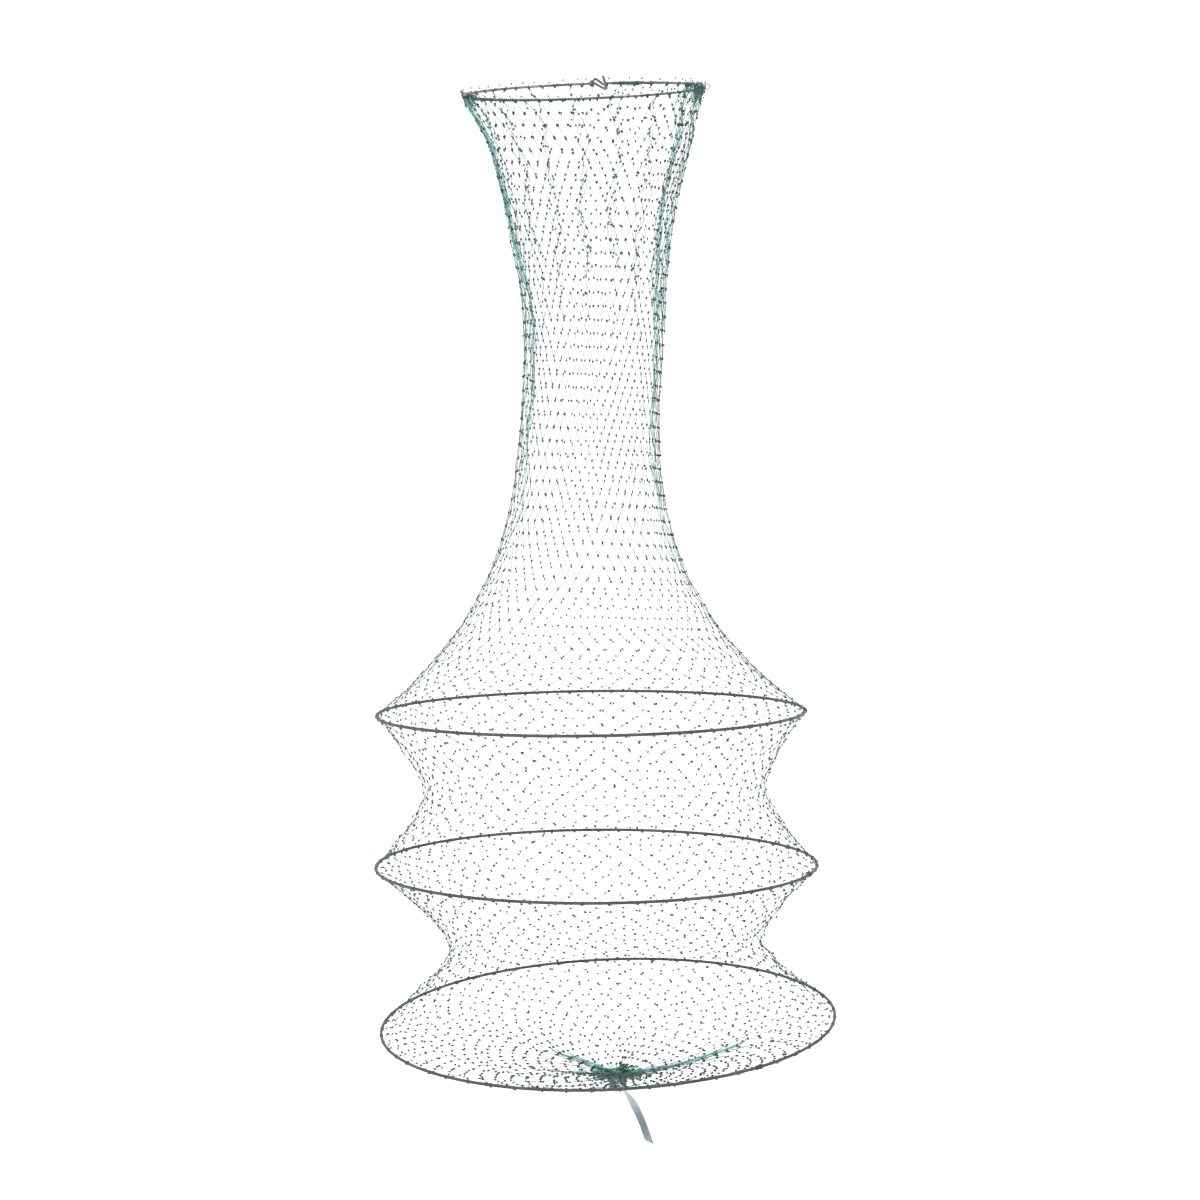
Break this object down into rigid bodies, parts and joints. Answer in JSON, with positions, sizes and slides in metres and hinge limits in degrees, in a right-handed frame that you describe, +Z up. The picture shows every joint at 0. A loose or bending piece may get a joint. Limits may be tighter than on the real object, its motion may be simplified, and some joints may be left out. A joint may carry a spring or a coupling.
{
  "type": "hoop keep net",
  "caption": "Collapsible hoop net: a small wire mouth ring, a long flared netting neck, coated wire hoops with waisted chambers between them, and a tied netting bottom with a ribbon tail.",
  "frame": {"origin": "centre of the mouth ring, from which the net hangs", "axes": "+Z up along the net's hanging axis, the net hangs along -Z; -Y is the front, where the mouth ring's hook and eye sit; +X to the right seen from the front"},
  "size_m": [0.3233, 0.3218, 0.7459],
  "materials": {
    "bare_wire": "bare drawn steel wire, dull",
    "core_wire": "drawn steel wire",
    "hoop_coating": "dark grey satin coating",
    "ferrule": "black, crimped",
    "netting": "pale teal knotted nylon netting",
    "twine": "pale teal nylon twine",
    "bunched_netting": "dense bunched teal netting",
    "tie_cord": "pale twisted cord",
    "ribbon": "satin ribbon, pale blue grey"
  },
  "bodies": {
    "mouth": {"mouth_ring": "bare_wire", "ring_eye": "bare_wire", "ring_hook": "bare_wire", "mouth_lashing": "twine", "neck_netting": "netting"},
    "hoop_1": {"hoop_1_core": "core_wire", "hoop_1_coating": "hoop_coating", "hoop_1_ferrule": "ferrule", "hoop_1_lashing": "twine", "upper_chamber_netting": "netting"},
    "hoop_2": {"hoop_2_core": "core_wire", "hoop_2_coating": "hoop_coating", "hoop_2_ferrule": "ferrule", "hoop_2_lashing": "twine", "lower_chamber_netting": "netting"},
    "hoop_3": {"hoop_3_core": "core_wire", "hoop_3_coating": "hoop_coating", "hoop_3_ferrule": "ferrule", "hoop_3_lashing": "twine", "bottom_netting": "netting"},
    "tie": {"gather_tuft": "bunched_netting", "tie_cord": "tie_cord", "tie_knot": "tie_cord"},
    "ribbon": {"ribbon_tail": "ribbon"}
  },
  "joints": [
    {"name": "neck_fold", "type": "slide", "parent": "mouth", "child": "hoop_1", "axis": [0, 0, 1], "range_m": [0, 0.4], "deforming": ["neck_netting"]},
    {"name": "upper_chamber_fold", "type": "slide", "parent": "hoop_1", "child": "hoop_2", "axis": [0, 0, 1], "range_m": [0, 0.095], "deforming": ["upper_chamber_netting"]},
    {"name": "lower_chamber_fold", "type": "slide", "parent": "hoop_2", "child": "hoop_3", "axis": [0, 0, 1], "range_m": [0, 0.09], "deforming": ["lower_chamber_netting"]},
    {"name": "bottom_lift", "type": "slide", "parent": "hoop_3", "child": "tie", "axis": [0, 0, 1], "range_m": [0, 0.039], "deforming": ["bottom_netting"]},
    {"name": "ribbon_swing", "type": "hinge", "parent": "tie", "child": "ribbon", "pos_m": [0.011, -0.0084, -0.6912], "axis": [0, 1, 0], "range_deg": [-27, 75]}
  ]
}
